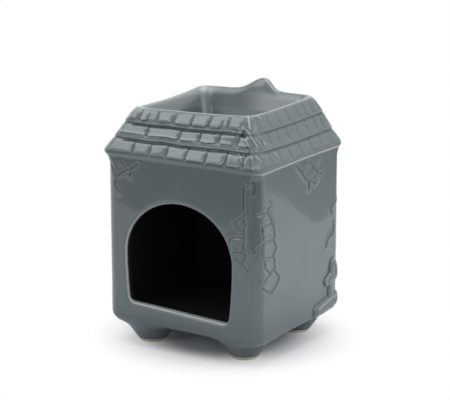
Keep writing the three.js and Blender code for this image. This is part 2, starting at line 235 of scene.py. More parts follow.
RIGHT_CARVING = (
    (0.38, 0.6, 0.25, (
        ((-29.0, 74.3), (-31.4, 72.6), (-35.2, 71.9), (-39.1, 71.3)),
        ((-31.4, 72.6), (-28.2, 69.0), (-27.3, 66.4), (-25.7, 64.6), (-24.8, 59.8), (-26.1, 58.4)),
        ((-28.2, 66.7), (-35.2, 66.2), (-35.1, 63.1), (-33.9, 58.8)),
        ((-33.9, 58.8), (-30.0, 58.9), (-26.1, 58.4), (-23.6, 54.3), (-25.2, 51.7), (-27.5, 50.4)),
        ((-33.9, 58.7), (-37.0, 56.3), (-40.1, 56.0)),
        ((-33.9, 58.7), (-35.5, 55.8), (-34.6, 51.6), (-27.5, 50.4), (-25.1, 49.3)),
        ((-34.6, 51.6), (-33.0, 48.2), (-34.2, 47.4), (-29.8, 43.7)),
        ((-25.1, 49.3), (-24.6, 45.2), (-27.8, 43.6), (-31.4, 41.8), (-35.3, 39.4)),
        ((-25.1, 43.6), (-20.5, 39.3), (-22.9, 36.8), (-26.9, 34.0), (-30.9, 34.6), (-34.9, 37.4)),
    )),
    (0.6, 0.5, 0.2, (
        ((-4.5, 88.3), (-1.6, 85.7), (1.1, 83.2), (4.2, 80.5)),
        ((5.0, 88.1), (2.4, 85.6), (0.4, 84.4)),
        ((7.3, 88.4), (11.1, 85.7), (13.2, 83.8), (16.3, 80.9), (19.0, 80.6)),
        ((16.1, 88.4), (13.1, 85.3)),
        ((10.1, 85.2), (9.5, 82.7), (7.2, 79.7), (9.3, 78.2), (12.0, 77.0), (14.0, 78.1), (16.3, 80.7)),
        ((6.9, 79.1), (6.7, 75.5)),
    )),
    (0.55, 0.6, 0.2, (
        ((33.8, 65.2), (27.6, 62.2), (29.5, 59.2)),
        ((31.7, 52.8), (30.8, 49.6), (25.8, 47.7), (23.9, 43.7)),
    )),
)
# How far from a groove the clay swells, over what width, and the height that no stone lies below
STONE_REACH = 1.4
STONE_SPREAD = 0.8
STONES_LOWEST_Z = 30

# The plant on the right wall, drawn as (distance round the walls, height); y on the flat part of the wall.
# Bars: a line of points and a radius. Leaves: middle, radii, lean in degrees, how far drawn out to a point
PLANT_BARS = {
    "planter_trough": (((15.8, 13.9), (30.5, 16.0), (44.5, 16.2)), 2.4),
    "plant_stem": (((29.0, 17.0), (29.3, 24.0)), 2.2),
}
PLANT_LEAVES = {
    "plant_leaf_lower": ((27.2, 27.3), (4.1, 2.2), 28, 0),
    "plant_leaf_upper": ((31.4, 31.3), (3.3, 5.4), 8, 0.35),
}
# How high each shape stands, how round its edge is, how deep it is dished and from where to where within
# its edge, how far round it the painted shade on the wall reaches, and its box's near and far corner, as
# (y, z)
PLANT_FORMS = {
    "planter_trough": (1.35, 2.6, 0, (0, 1), 1.2, (12, 9), (45, 22)),
    "plant_stem": (1.0, 1.5, 0, (0, 1), 0.7, (24, 12), (35, 29)),
    "plant_leaf_lower": (1.35, 1.5, 0.6, (0.7, 1.8), 0.7, (19, 20), (36, 34)),
    "plant_leaf_upper": (1.3, 2.0, 0.2, (1.8, 3.0), 0.9, (24, 22), (40, 41)),
}
PLANT_SINK = 0.35
PLANT_LEAST = 0.12
# Painted highlights along the trough's top and down the plant's right edge: how pale, over what half width,
# and along what line
PLANT_HIGHLIGHTS = (
    (0.5, 0.7, ((16.8, 15.1), (30.5, 17.6), (44.5, 17.8))),
    (0.55, 0.8, ((35.4, 36.0), (36.4, 30), (35.4, 20))),
)

# The lug: where the rear rim rises to a blunt point, how wide its two flanks are and how thick its back is
LUG_X = 3.3
LUG_RISE = LUG_TOP_Z - CREST_Z - 1.3
LUG_LEFT = 8.2
LUG_RIGHT = 5.8
LUG_BACK = 3.0
LUG_STRETCH = CREST_Z - RIM_Z
LUG_FACE_LEAN = 0.28
LUG_SINK = 0.5
LUG_PROUD = 0.03

# The mouth's edge: the heights above the sill over which the sill's share ends, and, for the chamber's
# black painted shade and for the pale line of thin glaze before it, how deep behind the wall's face it
# starts, how much deeper on the sill, and the same for where it is full
SILL_SPAN = (0.5, 2.5)
CHAMBER_SHADE_DEPTHS = ((1.3, 2.4), (1.9, 3.2))
MOUTH_LINE_DEPTHS = ((1.2, 1.2), (1.7, 1.4))
# How strong the painted highlights along edges are (on the rim, with thin glaze too), and the painted shade
# and light in places, from 0 to 1
RIM_REAR_PALE = 0.4
EAVES_HIGHLIGHT = 0.15
EAVES_RIGHT_HIGHLIGHT = 0.27
BOTTOM_HIGHLIGHT = 0.35
# Painted dark reflection in the basin's rear left corner
REAR_BAND_DARK_REFLECTION = 0.6
# Painted shade at the foot of the walls
FOOT_OF_WALL_SHADE = 0.3
# Painted shade round the plant, on the wall and on the plant's own edge
WALL_BY_PLANT_SHADE = 0.8
PLANT_EDGE_SHADE = 0.5
# Painted reflection on the basin's rear right, painted light on its left wall, painted highlight on its
# left rim
REAR_RIGHT_REFLECTION = 0.55
LEFT_WALL_LIGHT = 0.16
LEFT_RIM_HIGHLIGHT = 0.5
# How strongly paler edges and darker grooves show on the carved walls
CARVED_SHARES = (0.35, 1.4)

# The glaze: linear colours, roughness, and scale and detail of its unevenness
GLAZE_BODY = (0.100, 0.135, 0.143)
GLAZE_CLOUD = (0.108, 0.143, 0.149)
GLAZE_SPECK = (0.120, 0.153, 0.157)
# Glaze pooled in grooves, and painted shade
GLAZE_POOL_AND_SHADE = (0.050, 0.070, 0.076)
GLAZE_EDGE = (0.300, 0.340, 0.335)
# Thin glaze, and painted light and highlights
GLAZE_THIN_AND_HIGHLIGHT = (0.50, 0.52, 0.50)
# Painted shade: the black that stands for the shade inside the candle chamber
PAINTED_CHAMBER_SHADE = (0.002, 0.002, 0.002)
BARE_CLAY = (0.74, 0.67, 0.50)
GLAZE_ROUGHNESS = 0.38
# Roughness where the chamber's painted shade lies
CHAMBER_SHADE_ROUGHNESS = 0.85
GLAZE_SPECULAR = 0.35
GLAZE_IOR = 1.5
GLAZE_GLOSS = 0.06
BASIN_GLOSS = 0.2
CLOUD_NOISE = (45, 3)
SPECK_NOISE = (900, 4)
RIPPLE_NOISE = (320, 2)
RIPPLE_STRENGTH = 0.05
# In metres: how deep the ripple is, and where the bare clay of a foot turns to glaze
RIPPLE_DEPTH = 0.0004
BARE_CLAY_TOP = (0.0014, 0.0019)
# Colours laid over the body: the attribute that places each, from where to where it eases in and how far
GLAZE_LAYERS = (
    # thick: painted shade and painted dark reflection
    ("thick", None, GLAZE_POOL_AND_SHADE),
    # thin: painted light, painted reflection and painted highlights
    ("thin", None, GLAZE_THIN_AND_HIGHLIGHT),
    ("pool", (0.1, 0.9, 0.85), GLAZE_POOL_AND_SHADE),
    ("edge", (0.5, 1.6, 0.8), GLAZE_EDGE),
    # Thin glaze and painted highlights along lines
    ("thin_and_highlight", (0.1, 0.85, 0.95), GLAZE_THIN_AND_HIGHLIGHT),
)

# Camera, lamps and floor, in metres; the lens and its sensor in millimetres
CAMERA_LENS = 132
CAMERA_SENSOR = 36
CAMERA_PLACE = (0.4004, -0.6465, 0.2460)
CAMERA_TARGET = (0, 0, 0.06635)
LAMP_TARGET = (0, 0, 0.06)
WHITE = (1, 1, 1)
TABLE_GLOW = (0.60, 0.80, 1.0)
# Each lamp's place, size, power and colour, and whether the glaze mirrors it
LAMPS = (
    ("key_right", (0.75, -0.1, 0.6), 0.7, 2.1, WHITE, True),
    ("overhead", (0.0, 0.1, 0.95), 0.55, 3.2, WHITE, True),
    ("softbox_left", (-0.46, -0.27, 0.79), 0.45, 1.5, WHITE, True),
    ("fill_left", (-0.36, -0.87, 0.40), 0.3, 0.7, WHITE, True),
    ("table_right", (0.34, 0.04, 0.02), 0.24, 0.16, TABLE_GLOW, False),
)
AMBIENT_TINT = (0.86, 0.93, 1.0)
AMBIENT_LEVEL = 0.28
FLOOR_WHITE = (0.93, 0.93, 0.94)
DULL = 0.9
FLOOR_HALF = 3.0
# How far out the paper turns to plain white: to the eye, and in reflections
FLOOR_FADES = ((0.024, 0.068), (0.06, 0.15))

# Cards that lie off the picture, just above the floor: their greys and outlines in plan, in millimetres
CARD_Z = 2
CARDS = (
    ("card_behind", 0.5, (
        (900, 900), (245, 297), (234, 287), (225, 277), (210, 266), (196, 252), (182, 239), (169, 227),
        (158, 219), (153, 218), (150, 226), (110, 700), (300, 1500), (900, 1500),
    )),
    ("card_in_front", 0.24, (
        (-700, -300), (38, -250), (0, -350), (-45, -560), (-167, -1200), (-900, -1200),
    )),
    ("card_right", 0.18, (
        (38, -250), (150, -190), (230, -90), (250, 20), (1200, 60), (1200, -1200), (-150, -1200),
        (38, -560),
    )),
)

# Fineness of the meshes
SURFACE_STEP = 0.5
SMALL_STEP = 0.25
PIECE_TRIANGLES = 170_000
GRID_SLAB = 24
PARTING_ROUNDS = 12
START_TRIES = 40
BLEND_REACH = 2.5
BARE_STEEPNESS = 3
# How far a face may turn from the field's slope and still count as glazed, as a cosine
GLAZED_FACING = 0.55
# How far the cutting blocks reach, and the steps of their faces
CUT_RANGE = (-60, 60)
CUT_STEP = 2.0
SEED = 11


def smooth_max(a, b, k):
    """The larger of two distances, with the edge between them rounded over about k."""
    share = np.clip(0.5 + 0.5 * (a - b) / k, 0, 1)
    return b + (a - b) * share + k * share * (1 - share)


def smooth_min(a, b, k):
    """The smaller of two distances, with the corner between them filled over about k."""
    return -smooth_max(-a, -b, k)


def round_max(a, b, radius):
    """Where two solids overlap, with a round edge of that radius."""
    beyond = np.hypot(np.maximum(a + radius, 0), np.maximum(b + radius, 0))
    return np.minimum(-radius, np.maximum(a, b)) + beyond


def ramp(value, start, end):
    """Rises smoothly from 0 at start to 1 at end."""
    share = np.clip((value - start) / (end - start), 0, 1)
    return share * share * (3 - 2 * share)


def hump(value, width):
    """1 at zero, falling away on both sides over about that width."""
    return np.exp(-((value / width) ** 2))


def oval_distance(across, up, radius_across, radius_up):
    """Distance to an upright oval round the middle."""
    first = np.hypot(across / radius_across, up / radius_up)
    second = np.hypot(across / radius_across**2, up / radius_up**2)
    return first * (first - 1) / np.maximum(second, 1e-6)


def plan_distance(x, y, inset, radius):
    """Distance in plan to a rounded rectangle that stands that far in from the walls."""
    dx = np.abs(x) - (HALF_X - inset - radius)
    dy = np.abs(y) - (HALF_Y - inset - radius)
    outside = np.hypot(np.maximum(dx, 0), np.maximum(dy, 0))
    return outside + np.minimum(np.maximum(dx, dy), 0) - radius


def profile_table(points, softness):
    """A profile as a dense table of levels and offsets, with its corners softened over about that much."""
    heights = np.arange(0, CREST_Z + 8, 0.05)
    points = np.array(points)
    sharp = np.interp(heights, points[:, 0], points[:, 1])
    reach = np.arange(-3 * softness, 3 * softness, 0.05)
    weights = np.exp(-0.5 * (reach / softness) ** 2)
    padded = np.pad(sharp, (len(reach) // 2, len(reach) - 1 - len(reach) // 2), "edge")
    return heights, np.convolve(padded, weights / weights.sum(), "valid")


PROFILE_HEIGHTS, SLOPE_OFFSETS = profile_table(ROOF_SLOPE, PROFILE_SOFTNESS)
LIP_POINTS = [(seam + rise, out) for seam, lip in LIPS for rise, out in lip]
LIP_OFFSETS = profile_table(LIP_POINTS, PROFILE_SOFTNESS)[1]
BASIN_OFFSETS = profile_table(BASIN_INSET, BASIN_SOFTNESS)[1]


def lug_share(x, y):
    """1 at the lug's point on the rear rim, falling away along its two flanks."""
    off = x - LUG_X
    width = np.where(off < 0, LUG_LEFT, LUG_RIGHT)
    return np.exp(-((np.abs(off) / width) ** 2.2)) * ramp(y, HALF_Y - 22, HALF_Y - 15)


def roof_dip(x, y, level):
    """How far a level line of the roof lies below its height on the drawing, at a place in plan."""
    p = np.clip(x / HALF_X, -1.1, 1.1)
    q = np.clip(y / HALF_Y, -1.1, 1.1)
    left, right, near, far = (1 - p) / 2, (1 + p) / 2, (1 - q) / 2, (1 + q) / 2
    across, along = 1 - p * p, 1 - q * q
    corners = (right * near, left * near, right * far, left * far)
    middles = (across * near, along * right, along * left, across * far)
    levels, *dips = ROOF_DIPS.T
    dip = sum(share * np.interp(level, levels, row) for share, row in zip(corners + middles, dips))
    front = ramp(-y, HALF_Y - 12, HALF_Y - 4)
    back = ramp(y, HALF_Y - 12, HALF_Y - 4)
    wave = front * (np.sin(x / 4.3 + 0.6) + 0.7 * np.sin(x / 2.6 + 2.0)) + 0.6 * back * np.sin(x / 3.3)
    return dip + SEAM_WAVE * wave * ramp(level, EAVES_Z + 2, MIDDLE_Z - 1)


def roof_level(x, y, z, lug=False):
    """The level on the drawing that a point of the roof belongs to, with or without the lug."""
    level = z + roof_dip(x, y, z)
    level = z + roof_dip(x, y, level)
    if lug:
        rise = LUG_RISE * lug_share(x, y)
        stretched = RIM_Z + (level - RIM_Z) * LUG_STRETCH / (LUG_STRETCH + rise)
        level = np.where(level > RIM_Z, np.minimum(level, np.maximum(stretched, level - rise)), level)
    return level


def lip_share(x, y):
    """How boldly the courses' lips stand out: most on the front and back, least on the hips."""
    over = (np.abs(x) - HALF_X) - (np.abs(y) - HALF_Y)
    on_side = ramp(over, -3, 3)
    from_hip = ramp(np.abs(over), 1, 8)
    return (FRONT_LIP + (SIDE_LIP - FRONT_LIP) * on_side) * (HIP_LIP + (1 - HIP_LIP) * from_hip)


def outside_distance(x, y, z, lug=False):
    """Distance to the outside of the walls and roof, before any carving."""
    offset = WALL_SWELL
    if np.max(z) > EAVES_Z - 6:
        level = roof_level(x, y, z, lug)
        offset = np.interp(level, PROFILE_HEIGHTS, SLOPE_OFFSETS)
        offset = offset + lip_share(x, y) * np.interp(level, PROFILE_HEIGHTS, LIP_OFFSETS)
        if lug:
            offset = offset + LUG_BACK * lug_share(x, y) * ramp(level, RIM_Z - 1, RIM_Z + 1)
        x = x + np.interp(level, PROFILE_SHIFT[0], PROFILE_SHIFT[1])
    radius = np.interp(z, (EAVES_Z - 3, EAVES_Z, RIDGE_Z, CREST_Z), CORNER_RADII)
    to_front = ramp(-y, HALF_Y - 12, HALF_Y - 4) * ramp(-x, -HALF_X, 0)
    rounding = BOTTOM_ROUNDING + (FRONT_BOTTOM_ROUNDING - BOTTOM_ROUNDING) * to_front
    return round_max(plan_distance(x, y, -offset, radius), UNDERSIDE_Z - z, rounding)


def basin_void(x, y, z, lug=False):
    """The hollow for the oil. Its rear wall runs on up the face of the lug."""
    level = roof_level(x, y, z)
    climb = 0
    if lug:
        climb = np.clip(level - BASIN_EDGE_Z, 0, LUG_RISE * lug_share(x, y))
    inset = np.interp(level - climb, PROFILE_HEIGHTS, BASIN_OFFSETS) - LUG_FACE_LEAN * climb
    sides = plan_distance(x, y, inset, BASIN_CORNER_RADIUS)
    return round_max(sides, BASIN_FLOOR_Z - z, BASIN_FLOOR_ROUNDING)


def chamber_void(x, y, z):
    """The hollow for the candle."""
    sides = plan_distance(x, y, WALL, CHAMBER_CORNER_RADIUS)
    above_floor = round_max(sides, UNDERSIDE_Z + FLOOR - z, CHAMBER_ROUNDING)
    return round_max(above_floor, z - BOWL_UNDERSIDE_Z, CHAMBER_ROUNDING)


def mouth_void(x, y, z):
    """The arched mouth through the front wall."""
    across = x - ARCH_CENTRE_X
    up = z - ARCH_SPRING_Z
    arch = oval_distance(across, up, ARCH_HALF_WIDTH, ARCH_RISE)
    drop = np.clip(-up / (ARCH_SPRING_Z - SILL_Z), 0, 1)
    half_width = ARCH_HALF_WIDTH + (SILL_HALF_WIDTH - ARCH_HALF_WIDTH) * drop**2
    sides = np.abs(across) - half_width
    sill = SILL_Z - SILL_FALL * x - z
    opening = np.where(up > 0, arch, round_max(sides, sill, SILL_CORNER_RADIUS))
    return np.maximum(opening, y + HALF_Y / 2)


def foot_distance(x, y, z):
    """Distance to the four pads under the floor."""
    rise = np.clip(z / UNDERSIDE_Z, 0, 1.1)
    radius = FOOT_BASE_RADIUS + (FOOT_TOP_RADIUS - FOOT_BASE_RADIUS) * rise
    nearest = np.minimum.reduce([np.hypot(x - foot_x, y - foot_y) for foot_x, foot_y in FOOT_CENTRES])
    return round_max(round_max(FOOT_STEEPNESS * (nearest - radius), -z, 0.5), z - UNDERSIDE_Z - 2, 0.5)


def bar_outline(u, v, line, radius=0):
    """Distance to a bar with round ends along a line of points."""
    stretches = []
    for (u0, v0), (u1, v1) in zip(line, line[1:]):
        du, dv = u1 - u0, v1 - v0
        along = np.clip(((u - u0) * du + (v - v0) * dv) / (du * du + dv * dv), 0, 1)
        stretches.append(np.hypot(u - u0 - along * du, v - v0 - along * dv))
    return np.minimum.reduce(stretches) - radius


def carved_relief(u, v, patches):
    """The relief of stones marked out by grooves along the patches' lines, at places (u, v) on a wall."""
    relief = np.zeros(u.shape)
    for depth, half_width, swell, lines in patches:
        nearest = np.minimum.reduce([bar_outline(u, v, line) for line in lines])
        relief += depth * (swell * hump(nearest - STONE_REACH, STONE_SPREAD) - hump(nearest, half_width))
    return relief


def tile_layout():
    """For each face and course: the joints, each tile's own tilt and thickness, and the face's style."""
    draws = np.random.default_rng(SEED)
    layout = {}
    for face, half, style in (
        ("front", HALF_X, CHUNKY_TILES),
        ("right", HALF_Y, FLAT_TILES),
        ("back", HALF_X, CHUNKY_TILES),
        ("left", HALF_Y, FLAT_TILES),
    ):
        for course in range(3):
            joints = TILE_JOINTS.get((face, course))
            if joints is None:
                reach = half - 5 - 3 * course
                count = int(2 * reach / HIDDEN_TILE_LENGTH) + 1
                joints = np.linspace(-reach, reach, count) + draws.uniform(-0.9, 0.9, count)
            cuts = draws.uniform(-1, 1, (len(joints) + 1, 3))
            layout[face, course] = (np.array(joints), cuts, style)
    return layout


TILES = tile_layout()
COURSE_LEVELS = ((EAVES_Z, MIDDLE_Z), (MIDDLE_Z, RIDGE_Z), (RIDGE_Z, CREST_Z + 0.2))


def tile_relief(x, y, z):
    """How far the roof's tiles stand out from the plain profile, at points near the roof's surface."""
    relief = np.zeros(x.shape)
    level = roof_level(x, y, z)
    over_x = np.abs(x) - HALF_X
    over_y = np.abs(y) - HALF_Y
    side_on = over_x > over_y
    from_hip = np.abs(over_x - over_y)
    faces = {
        "front": (~side_on & (y < 0), x),
        "back": (~side_on & (y >= 0), x),
        "right": (side_on & (x > 0), y),
        "left": (side_on & (x <= 0), y),
    }
    for (face, course), (joints, cuts, (depth, half_width, bulge, uneven, roundness)) in TILES.items():
        low, high = COURSE_LEVELS[course]
        on_face, along = faces[face]
        chosen = on_face & (level > low) & (level < high + 0.3)
        if not chosen.any():
            continue
        s = along[chosen]
        share = (level[chosen] - low) / (high - low)
        tile = np.searchsorted(joints, s)
        edges = np.concatenate(([joints[0] - END_TILE], joints, [joints[-1] + END_TILE]))
        middle = (edges[tile] + edges[tile + 1]) / 2
        length = edges[tile + 1] - edges[tile]
        to_joint = length / 2 - np.abs(s - middle)
        trims = TILE_TRIM.get((face, course), {})
        trim = np.array([trims.get(place, (0, 0)) for place in range(len(cuts))])[tile]
        cut = cuts[tile]
        start, highest, end = PILLOW[course]
        lean = share - TILE_TURN
        slant = TILE_SLANT * uneven * lean
        from_left = s - edges[tile] - trim[:, 0] + slant * cut[:, 2]
        from_right = edges[tile + 1] - trim[:, 1] - s + slant * cut[:, 0]
        thick = np.clip(np.minimum(from_left, from_right) / roundness, 0, 1)
        falling = (end + 0.04 - share) / 0.12
        upright = np.clip(np.minimum((share - start) / (highest - start), falling), 0, 1)
        crown = np.sqrt(1 - np.minimum((1 - thick) ** 2 + (1 - upright) ** 2, 1))
        facet = cut[:, 0] + cut[:, 1] * (s - middle) / length * 2 + cut[:, 2] * lean * 2
        body = 1 - 0.8 * np.clip((share - highest) / (end - highest), 0, 1)
        joint = ramp(share, start - 0.2, start + 0.15) * (1 - ramp(share, end - 0.06, end + 0.02))
        groove = depth * hump(to_joint, half_width) * joint
        away = ramp(from_hip[chosen], *TILES_FROM_HIP)
        relief[chosen] = away * ((bulge + uneven * facet) * crown * body - groove)
    return relief


def hip_relief(x, y, z):
    """The hand-made ridges and cuts at the near hip, and the painted highlight on them."""
    relief = np.zeros(x.shape)
    pale = np.zeros(x.shape)
    along = (x - HALF_X) - (-y - HALF_Y)
    near = (x > 0) & (y < 0) & (np.abs(along) < HIP_REACH) & (z > EAVES_Z)
    for height, half_width, share, line in HIP_MARKS:
        spot = hump(bar_outline(along[near], z[near], line), half_width)
        relief[near] += height * spot
        # Painted highlight along the ridges
        pale[near] = np.maximum(pale[near], share * spot)
    return relief, pale


def wall_wobble(x, y, z):
    """The slight unevenness of a cast and dipped wall."""
    first = np.sin(x / 9.1 + 0.4) * np.sin(z / 12.7 + 1.1) + np.sin(y / 8.3 + 2.2) * np.sin(z / 10.9)
    second = np.sin((x + z) / 5.3) * np.sin((y - z) / 6.1)
    return 0.07 * first + 0.03 * second


def surface_relief(x, y, z):
    """Everything that stands out from the plain walls and roof, or is cut into them."""
    relief = wall_wobble(x, y, z)
    roof = z > EAVES_Z - 2
    relief[roof] += tile_relief(x[roof], y[roof], z[roof])
    relief[roof] += hip_relief(x[roof], y[roof], z[roof])[0]
    carved = (z < EAVES_Z + 0.5) & (z > STONES_LOWEST_Z)
    walls = (
        (carved & (y < -HALF_Y + 5) & (x < HALF_X - 1.5), x, -y, HALF_Y, FRONT_CARVING),
        (carved & (x > HALF_X - 5), y, x, HALF_X, RIGHT_CARVING),
    )
    for chosen, along, outward, half, patches in walls:
        on_wall = ramp(outward[chosen], half - 2.5, half - 0.5)
        relief[chosen] += carved_relief(along[chosen], z[chosen], patches) * on_wall
    return relief


def dressed_outside(x, y, z, lug=False):
    """Distance to the outside of the walls and roof with their carving."""
    distance = np.array(outside_distance(x, y, z, lug), float)
    chosen = np.abs(distance) < BLEND_REACH
    if chosen.any():
        places = (np.broadcast_to(part, distance.shape)[chosen] for part in (x, y, z))
        distance[chosen] -= surface_relief(*places)
    return distance


def clay(x, y, z, lug=False):
    """The whole burner without its plant: negative inside the clay, positive outside it."""
    distance = dressed_outside(x, y, z, lug)
    if np.max(z) > BOWL_UNDERSIDE_Z:
        distance = smooth_max(distance, -basin_void(x, y, z, lug), RIM_ROLL)
    if np.min(z) < BOWL_UNDERSIDE_Z + 1:
        distance = smooth_max(distance, -chamber_void(x, y, z), 0.6)
    if np.min(z) < ARCH_SPRING_Z + ARCH_RISE + 4:
        distance = smooth_max(distance, -mouth_void(x, y, z), MOUTH_LIP)
    if np.min(z) < UNDERSIDE_Z + 4:
        distance = smooth_min(distance, foot_distance(x, y, z), FOOT_FILLET)
    return distance


def gradient(field, points, reach=0.12):
    """The field's slope at each point."""
    slopes = []
    for step in reach * np.eye(3):
        slopes.append((field(*(points + step).T) - field(*(points - step).T)) / (2 * reach))
    return np.stack(slopes, 1)


def part_corners(values):
    """Changes the sign of grid points that lie almost on the surface, where a square of the grid has two
    opposite corners inside and two outside: the surface there would meet itself along an edge."""
    units = np.eye(3, dtype=int)
    for _ in range(PARTING_ROUNDS):
        found = 0
        for one, two in ((units[0], units[1]), (units[0], units[2]), (units[1], units[2])):
            offsets = np.array((0 * one, one, one + two, two))
            size = np.array(values.shape) - one - two
            inside = [values[tuple(map(slice, offset, offset + size))] < 0 for offset in offsets]
            turns = (inside[0] == inside[2]) & (inside[1] == inside[3]) & (inside[0] != inside[1])
            around = np.argwhere(turns)[None] + offsets[:, None]
            least = np.abs(values[tuple(np.moveaxis(around, -1, 0))]).argmin(0)
            nearest = tuple(around[least, np.arange(len(least))].T)
            values[nearest] = -values[nearest]
            found += len(least)
        if not found:
            break


def skin(field, low, high, step):
    """Vertices and square faces of the closed surface where the field is zero, inside a box."""
    counts = [int(np.ceil((b - a) / step)) + 1 for a, b in zip(low, high)]
    x, y, z = (a + step * np.arange(n) for a, n in zip(low, counts))
    values = np.empty(counts, np.float32)
    for start in range(0, counts[2], GRID_SLAB):
        part = slice(start, start + GRID_SLAB)
        values[:, :, part] = field(x[:, None, None], y[None, :, None], z[None, None, part])
    part_corners(values)
    inside = values < 0
    cells, points = [], []
    for axis in range(3):
        ahead, one, two = np.roll(np.eye(3, dtype=int), -axis, axis=0)
        first = np.argwhere(np.diff(inside, axis=axis))
        value_0 = values[tuple(first.T)].astype(float)
        value_1 = values[tuple((first + ahead).T)].astype(float)
        around = [first, first - one, first - one - two, first - two]
        around = np.stack([np.ravel_multi_index(tuple(cell.T), counts) for cell in around], 1)
        leaving = value_0 > 0
        around[leaving] = around[leaving][:, ::-1]
        cells.append(around)
        points.append(first + ahead * (value_0 / (value_0 - value_1))[:, None])
    crossings = np.repeat(np.concatenate(points), 4, axis=0)
    faces = np.unique(np.concatenate(cells).ravel(), return_inverse=True)[1]
    total = np.bincount(faces)
    vertices = np.stack([np.bincount(faces, crossings[:, axis]) / total for axis in range(3)], 1)
    vertices = np.array(low) + step * vertices
    for _ in range(2):
        slope = gradient(field, vertices)
        square = np.maximum((slope**2).sum(1), 0.05)
        shift = (field(*vertices.T) / square)[:, None] * slope
        vertices -= np.clip(shift, -0.5 * step, 0.5 * step)
    return vertices, faces.reshape(-1, 4)


def clear_start(low, step, levels):
    """A grid's first plane, at or below low, so that none of its planes lies on or near those levels."""
    starts = low - step * np.arange(START_TRIES) / START_TRIES
    past = (np.array(levels)[None, :] - starts[:, None]) / step % 1
    return starts[np.argmax(np.minimum(past, 1 - past).min(1))]


def mesh_object(name, vertices, *groups):
    """An object made of groups of faces, each with one number of corners. Vertices in millimetres."""
    corners = np.concatenate([np.full(len(group), group.shape[1]) for group in groups])
    loops = np.concatenate([group.ravel() for group in groups])
    mesh = bpy.data.meshes.new(name)
    mesh.vertices.add(len(vertices))
    mesh.vertices.foreach_set("co", (np.asarray(vertices, np.float32) * MM).ravel())
    mesh.loops.add(len(loops))
    mesh.loops.foreach_set("vertex_index", loops.astype(np.int32))
    mesh.polygons.add(len(corners))
    mesh.polygons.foreach_set("loop_start", (np.cumsum(corners) - corners).astype(np.int32))
    mesh.update(calc_edges=True)
    mesh.validate()
    made = bpy.data.objects.new(name, mesh)
    bpy.context.scene.collection.objects.link(made)
    return made


def apply_modifiers(piece):
    """Turns a piece with modifiers into the plain mesh that they make."""
    graph = bpy.context.evaluated_depsgraph_get()
    mesh = bpy.data.meshes.new_from_object(piece.evaluated_get(graph))
    piece.modifiers.clear()
    piece.data = mesh


def remove(*objects):
    """Deletes cutters and blanks that have done their work."""
    for made in objects:
        bpy.data.objects.remove(made)


def combine(name, whole, cutter, operation):
    """A new object: the whole cut by, or joined with, the cutter."""
    made = whole.copy()
    made.name = name
    bpy.context.scene.collection.objects.link(made)
    modifier = made.modifiers.new("cut", "BOOLEAN")
    modifier.solver = "MANIFOLD"
    modifier.operation = operation
    modifier.object = cutter
    apply_modifiers(made)
    if len(made.data.vertices) in (0, len(whole.data.vertices)):
        raise RuntimeError(f"{name}: the cut changed nothing")
    return made


def side_faces(ring, rise):
    """The upright faces of a prism, from a ring of its points up to those that come so much later."""
    following = np.roll(ring, -1)
    return np.stack([ring, following, following + rise, ring + rise], -1)


def slab_cutter(name, bottom, top, x_range=CUT_RANGE, y_range=CUT_RANGE):
    """A block between two heights. In the roof its faces follow the sag of the courses."""
    xs, ys = (np.linspace(*ends, int((ends[1] - ends[0]) / CUT_STEP) + 1) for ends in (x_range, y_range))
    grid_x, grid_y = np.meshgrid(xs, ys, indexing="ij")
    sheets = []
    for level in (bottom, top):
        dip = roof_dip(grid_x, grid_y, level) if EAVES_Z <= level < CREST_Z else 0 * grid_x
        sheets.append(np.stack([grid_x, grid_y, level - dip], -1).reshape(-1, 3))
    lower = np.arange(grid_x.size).reshape(grid_x.shape)
    ring = np.concatenate([lower[:-1, 0], lower[-1, :-1], lower[:0:-1, -1], lower[0, :0:-1]])
    corners = (lower[:-1, :-1], lower[1:, :-1], lower[1:, 1:], lower[:-1, 1:])
    upward = np.stack(corners, -1).reshape(-1, 4)
    faces = (upward[:, ::-1], upward + grid_x.size, side_faces(ring, grid_x.size))
    return mesh_object(name, np.concatenate(sheets), *faces)


def bowl_cutter(name):
    """A prism round the basin, which parts it from the courses of tiles."""
    radius = BASIN_CORNER_RADIUS + 3
    middle = np.array((HALF_X, HALF_Y)) - BOWL_INSET - radius
    outline = []
    for corner, signs in enumerate(((1, 1), (-1, 1), (-1, -1), (1, -1))):
        for angle in np.linspace(0, np.pi / 2, 8) + corner * np.pi / 2:
            outline.append(np.array(signs) * middle + radius * np.array((np.cos(angle), np.sin(angle))))
    ring = np.arange(len(outline))
    heights = (EAVES_Z - 3, CREST_Z + 9)
    points = np.concatenate([np.insert(outline, 2, height, axis=1) for height in heights])
    return mesh_object(name, points, np.array([ring[::-1], ring + len(ring)]), side_faces(ring, len(ring)))


def wall_place(x, y):
    """Distance along the right wall from its middle, carried on round the corner and the rear wall."""
    corner_x = HALF_X - CORNER_RADIUS
    corner_y = HALF_Y - CORNER_RADIUS
    turn = np.arctan2(np.maximum(y - corner_y, 0), np.maximum(x - corner_x, 1e-6))
    round_corner = corner_y + CORNER_RADIUS * turn
    along_rear = corner_y + CORNER_RADIUS * np.pi / 2 + (corner_x - x)
    return np.where(y < corner_y, y, np.where(x < corner_x, along_rear, round_corner))


def leaf_outline(u, v, centre, radii, lean, point):
    """Distance to a leaning oval whose upper half is drawn out to a blunt point by that share."""
    turn = np.radians(lean)
    off_v = v - centre[1]
    off_u = (u - centre[0]) * (1 + point * np.clip(off_v / radii[1], -1, 1.2))
    across = off_u * np.cos(turn) + off_v * np.sin(turn)
    up = off_v * np.cos(turn) - off_u * np.sin(turn)
    return oval_distance(across, up, *radii)


def plant_outline(node, u, v):
    """Distance on the wall to the outline of one of the plant's shapes."""
    if node in PLANT_BARS:
        return bar_outline(u, v, *PLANT_BARS[node])
    return leaf_outline(u, v, *PLANT_LEAVES[node])


